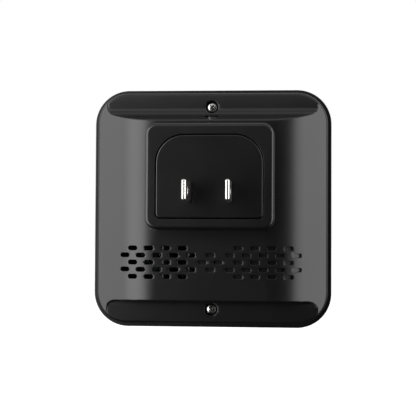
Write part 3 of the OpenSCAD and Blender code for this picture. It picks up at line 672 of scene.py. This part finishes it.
def slot_cutter(cx, cz, depth, soft, dish):
    """A slot in the dome that flares by soft at its mouth; its floor is drawn in by dish round its edge."""
    rings = []
    for spread, rise in ((soft + 0.35, 0.35), (soft, 0.0), (soft * 0.45, -soft * 0.25),
                         (soft * 0.12, -soft * 0.6), (0.0, -soft), (0.0, dish - depth),
                         (-dish * 0.3, dish * 0.3 - depth), (-dish, -depth)):
        end_r = SLOT_H / 2 + spread - 0.001
        outline = loop(SLOT_L + 2 * spread, SLOT_H + 2 * spread, end_r, end_r, 0, 8, 1)
        rings.append([(cx + x, on_dome(cx + x, rise), cz + z) for x, z in outline])
    return loft(rings)


def well_cutter(radius, cx, cz, soft, count=48):
    """A round well that flares by soft where it meets the cover."""
    rings = []
    for spread, rise in ((soft + 0.25, 0.25), (soft, 0.0), (soft * 0.4, -soft * 0.3), (0.0, -soft)):
        ring = ring_circle(radius + spread, count)
        heights = np.minimum(cover_height(ring[:, 0] + cx, ring[:, 1] + cz - BODY_Z), SHELF_Y)
        rings.append([(cx + x, float(y) + rise, cz + z) for (x, z), y in zip(ring, heights)])
    rings.append(level(ring_circle(radius, count), WELL_LOW, cx, cz))
    return loft(rings)


def turned_ring(profile, cx, cz, count=48):
    """A closed ring about a Y axis from [radius, y] points."""
    return loft([level(ring_circle(r, count), y, cx, cz) for r, y in profile], closed=True)


def outlet_pad():
    """The pad: a flared root, drafted walls, a rounded edge and the arched opening for the insert."""
    base = PAD_EDGE + (0.0 - CROWN_Y) * tan(PAD_DRAFT)

    def placed(offset, y_of):
        return [(x, y_of(x), z + PAD_Z) for x, z in loop(PAD_W, PAD_H, PAD_R, PAD_R, -offset, 12, 10)]

    rings = [placed(base - 1.0, lambda x: PAD_LOW),
             placed(base + PAD_ROOT_R + 0.25, lambda x: on_dome(x, -0.35))]
    for k in range(6):
        a = pi / 2 * k / 5
        rings.append(placed(base + PAD_ROOT_R * (1 - sin(a)),
                            lambda x, a=a: on_dome(x, PAD_ROOT_R * (1 - cos(a))) - 0.02))
    for k in range(9):
        a = PAD_DRAFT + (pi / 2 - PAD_DRAFT) * k / 8
        rings.append(placed(PAD_EDGE * cos(a), lambda x, a=a: -PAD_EDGE + PAD_EDGE * sin(a)))
    for inset, y in ((-PAD_LIP, 0.0), (-PAD_LIP * 0.3, -PAD_LIP * 0.3), (0.0, -PAD_LIP), (0.0, PAD_LOW)):
        opening = loop(INSERT_W + 2 * INSERT_GAP, INSERT_H + 2 * INSERT_GAP, INSERT_TOP_R + INSERT_GAP,
                       INSERT_LOW_R + INSERT_GAP, inset, 12, 10)
        rings.append(level(opening, y, 0, INSERT_Z))
    return loft(rings, closed=True)


def make_rear_shell():
    """The rear cover's shell with its pad, vents, notch, screw wells and the insert's opening."""
    shell = new_piece("rear_shell", *rear_dome(), "shell_black")
    pad = new_piece("pad_cutter", *outlet_pad(), None)
    cut(shell, [pad], "UNION")
    parts = [slot_cutter(x, z, *(OPEN_VENT if field == 1 else CLOSED_VENT)) for field, x, z in vent_places()]
    notch = loop(NOTCH_W, NOTCH_H, NOTCH_R, NOTCH_R, 0, 4, 1)
    parts.append(loft([level(notch, y, 0, BODY_Z + SHELF_START - NOTCH_REACH)
                       for y in (NOTCH_LOW, NOTCH_HIGH)]))
    for side in (1, -1):
        parts.append(well_cutter(WELL_R, 0, BODY_Z + side * SCREW_REACH, WELL_FLARE))
    opening = loop(INSERT_W + 2 * OPENING_GAP, INSERT_H + 2 * OPENING_GAP, INSERT_TOP_R + OPENING_GAP,
                   INSERT_LOW_R + OPENING_GAP, 0, 12, 10)
    parts.append(loft([level(opening, y, 0, INSERT_Z) for y in (OPENING_LOW, OPENING_HIGH)]))
    cutter = new_piece("vent_cutter", *several(parts), None)
    cut(shell, [cutter])
    keep_flat(shell)
    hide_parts("rear_cover")
    make_rear_inside()


def make_rear_inside():
    """The screw tubes and the skirt that reaches into the front cover, moulded with the rear cover."""
    tube = ((TUBE_R, TUBE_LOW), (TUBE_R, TUBE_HIGH), (TUBE_MOUTH_R, TUBE_HIGH), (TUBE_MOUTH_R, SCREW_SEAT_Y),
            (SCREW_HOLE_R, SCREW_SEAT_Y), (SCREW_HOLE_R, TUBE_LOW))
    parts = [turned_ring(tube, 0, BODY_Z + side * SCREW_REACH) for side in (1, -1)]
    w = BODY_W - 2 * WALL - 2 * SKIRT_GAP
    r = CORNER_R - WALL - SKIRT_GAP
    high, low, chamfer = REAR_LOW + 0.8, SEAM_Y - SKIRT_DEPTH, 0.3
    lines = ((0.0, high), (0.0, low + chamfer), (chamfer, low), (SKIRT_WALL, low), (SKIRT_WALL, high))
    parts.append(loft([level(loop(w, w, r, r, inset), y, 0, BODY_Z) for inset, y in lines], closed=True))
    inside = new_piece("rear_inside", *several(parts), "shell_black")
    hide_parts("rear_cover")


def make_front_shell():
    """The front cover: drafted walls, a broad rounded edge, a shallow dish with slots, and two holes."""
    depth = SEAM_Y - FRONT_Y
    dish_y = FRONT_Y + DISH_DEPTH
    flat_inset = (FRONT_EDGE + (depth - FRONT_EDGE) * sin(FRONT_DRAFT)) / cos(FRONT_DRAFT)

    def ring(inset, y):
        return level(loop(BODY_W, BODY_W, CORNER_R, CORNER_R, inset, 20, 8), y, 0, BODY_Z)

    rings = [ring(0.25, SEAM_Y), ring(0.07, SEAM_Y - 0.07), ring(0.01, SEAM_Y - 0.25)]
    for k in range(19):
        a = FRONT_DRAFT + (pi / 2 - FRONT_DRAFT) * k / 18
        rings.append(ring(flat_inset - FRONT_EDGE * cos(a), FRONT_Y + FRONT_EDGE - FRONT_EDGE * sin(a)))
    outer = np.array(rings[-1])
    turn = np.arctan2(outer[:, 2] - HORN_Z, outer[:, 0])
    for radius, y in ((DISH_R + 0.3, FRONT_Y), (DISH_R + 0.12, FRONT_Y + 0.04), (DISH_R, FRONT_Y + 0.16),
                      (DISH_R - 0.03, dish_y - 0.2), (DISH_R - 0.2, dish_y), (GRILLE_R + 1.0, dish_y)):
        rings.append([(radius * cos(a), y, HORN_Z + radius * sin(a)) for a in turn])
    inner = [ring(WALL + 3.0, FRONT_Y + WALL), ring(WALL + 1.0, FRONT_Y + WALL + 2.5),
             ring(WALL + 0.6, SEAM_Y - 1), ring(WALL + 0.5, SEAM_Y)]
    shell = new_piece("front_shell", *loft(inner + rings), "shell_black")
    rows = int(np.ceil(GRILLE_R / ROW_PITCH))
    parts = []
    for row in range(-rows, rows + 1):
        for i in range(-4, 5):
            x = (i + (0 if row % 2 == 0 else 0.5)) * SLOT_PITCH
            if hypot(abs(x) + SLOT_L / 2, row * ROW_PITCH) <= GRILLE_R:
                parts.append(front_slot(x, HORN_Z + row * ROW_PITCH, dish_y, GRILLE_SOFT))
    for radius, z in ((LED_HOLE_R, LED_Z), (BUTTON_HOLE_R, BUTTON_Z)):
        parts.append(front_hole(radius, z, HOLE_SOFT))
    cut(shell, [new_piece("front_cutter", *several(parts), None)])
    keep_flat(shell)
    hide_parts("front_cover")


def front_slot(cx, cz, y, soft):
    """A slot through the front cover that flares by soft at its mouth."""
    rings = []
    steps = ((soft + 0.4, -0.4), (soft, 0.0), (soft * 0.45, soft * 0.25), (0.0, soft), (0.0, 3.0))
    for spread, rise in steps:
        end_r = SLOT_H / 2 + spread - 0.001
        outline = loop(SLOT_L + 2 * spread, SLOT_H + 2 * spread, end_r, end_r, 0, 8, 1)
        rings.append(level(outline, y + rise, cx, cz))
    return loft(rings)


def front_hole(radius, cz, soft):
    """A round hole through the front cover that flares by soft at its mouth."""
    steps = ((soft + 0.4, -0.4), (soft, 0.0), (soft * 0.4, soft * 0.3), (0.0, soft), (0.0, 4.0))
    return loft([level(ring_circle(radius + spread, 56), FRONT_Y + rise, 0, cz) for spread, rise in steps])


def make_insert():
    """The arch-topped insert, its edge rounded, with its flange behind the pad."""
    def outline(inset):
        return loop(INSERT_W, INSERT_H, INSERT_TOP_R, INSERT_LOW_R, inset, 20, 10)

    rings = [level(outline(0), INSERT_LOW, 0, INSERT_Z)]
    for k in range(7):
        a = pi / 2 * k / 6
        rings.append(level(outline(INSERT_EDGE * (1 - cos(a))), -INSERT_EDGE + INSERT_EDGE * sin(a),
                           0, INSERT_Z))
    flange = [level(loop(FLANGE_W, FLANGE_H, FLANGE_R, FLANGE_R, inset, 10, 10), y, 0, INSERT_Z)
              for inset, y in ((0.2, -10.8), (0.0, -10.6), (0.0, -8.8), (0.2, -8.6))]
    insert = new_piece("insert_block", *several([loft(rings), loft(flange)]), "insert_black")
    mouth = loop(BLADE_T + BLADE_SLOT_GAP, BLADE_H + BLADE_SLOT_GAP, BLADE_SLOT_R, BLADE_SLOT_R, 0, 4, 1)
    for side in (-1, 1):
        slot = loft([level(mouth, y, side * BLADE_X, 0) for y in (OPENING_LOW, 1.0)])
        cut(insert, [new_piece("slot_cutter", *slot, None)])
    keep_flat(insert)
    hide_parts("plug_insert")


def blade_hole(side, y, radius):
    """A cutter for a hole through a blade, widened at both mouths."""
    face, wide, near = BLADE_T / 2, radius + HOLE_MOUTH, radius + HOLE_MOUTH * 0.15
    beyond, beyond_r = 1.2, radius + 2 * HOLE_MOUTH
    inward = face - HOLE_MOUTH * 0.7
    profile = ((-beyond, beyond_r), (-face, wide), (-inward, near), (0.0, radius), (inward, near),
               (face, wide), (beyond, beyond_r))
    return loft([[(side * BLADE_X + x, y + a, b) for a, b in ring_circle(r, 40)] for x, r in profile])


def make_blade(node, side):
    """A flat blade with rounded edges, a fully rounded tip, a soldering tail and a hole near the tip."""
    def outline(inset):
        return loop(BLADE_T, BLADE_H, BLADE_R, BLADE_R, inset, 8, 24)

    rings = [level(outline(0.0), y, side * BLADE_X, 0) for y in (BLADE_LOW, -5.0, 0.0)]
    for k in range(11):
        a = pi / 2 * k / 10
        ring = outline(BLADE_TIP * (1 - cos(a)))
        drop = edge_drop(BLADE_H / 2 - np.abs(ring[:, 1]), BLADE_CORNER)
        rings.append([(side * BLADE_X + x, BLADE_END - BLADE_TIP_DEPTH * (1 - sin(a)) - float(low), z)
                      for (x, z), low in zip(ring, drop)])
    tail = [level(loop(BLADE_T, TAIL_H, TAIL_R, TAIL_R, inset, 5, 6), y, side * BLADE_X, 0)
            for inset, y in ((TAIL_R, TAIL_END), (0.0, TAIL_END + TAIL_R), (0.0, TAIL_HIGH))]
    blade = new_piece(node + "_metal", *several([loft(rings), loft(tail)]), "nickel_plate")
    holes = [blade_hole(side, BLADE_END - HOLE_FROM_TIP, HOLE_R),
             blade_hole(side, TAIL_HOLE_Y, TAIL_HOLE_R)]
    cut(blade, [new_piece("hole_cutter", *several(holes), None)])
    keep_flat(blade)
    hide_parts(node)


def softened(node, name, slot, body, width, segments=3):
    """A copy of a CAD node with its edges rounded, which stands for the node."""
    mesh = nodes[node].data.copy()
    piece = bpy.data.objects.new(name, mesh)
    bpy.context.scene.collection.objects.link(piece)
    shape = bmesh.new()
    shape.from_mesh(mesh)
    bmesh.ops.remove_doubles(shape, verts=shape.verts, dist=MERGE)
    bmesh.ops.dissolve_limit(shape, angle_limit=radians(2), verts=shape.verts, edges=shape.edges)
    shape.to_mesh(mesh)
    shape.free()
    if mesh.attributes.get("custom_normal"):
        mesh.attributes.remove(mesh.attributes["custom_normal"])
    step = piece.modifiers.new("rounded edges", "BEVEL")
    step.width = width * MM
    step.segments = segments
    step.limit_method = "ANGLE"
    step.angle_limit = radians(35)
    bpy.context.view_layer.update()
    bake_modifiers(piece)
    tidy_mesh(piece.data, 40)
    keep_flat(piece)
    piece.data.materials.clear()
    piece.data.materials.append(finishes[slot])
    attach(piece, body)
    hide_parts(node)


make_camera()
make_world()
make_lights()
make_floor()
finishes = make_materials()
dress_nodes()
make_rear_shell()
make_front_shell()
make_insert()
make_blade("line_blade", -1)
make_blade("neutral_blade", 1)
softened("case_screws", "case_screw_pair", "zinc_screw", "housing", 0.22)
softened("mode_button", "button_cap", "button_black", "mode_button", 0.15)
softened("light_pipe", "light_pipe_lens", "clear_acrylic", "housing", 0.15)

bpy.context.scene.view_settings.view_transform = "Standard"
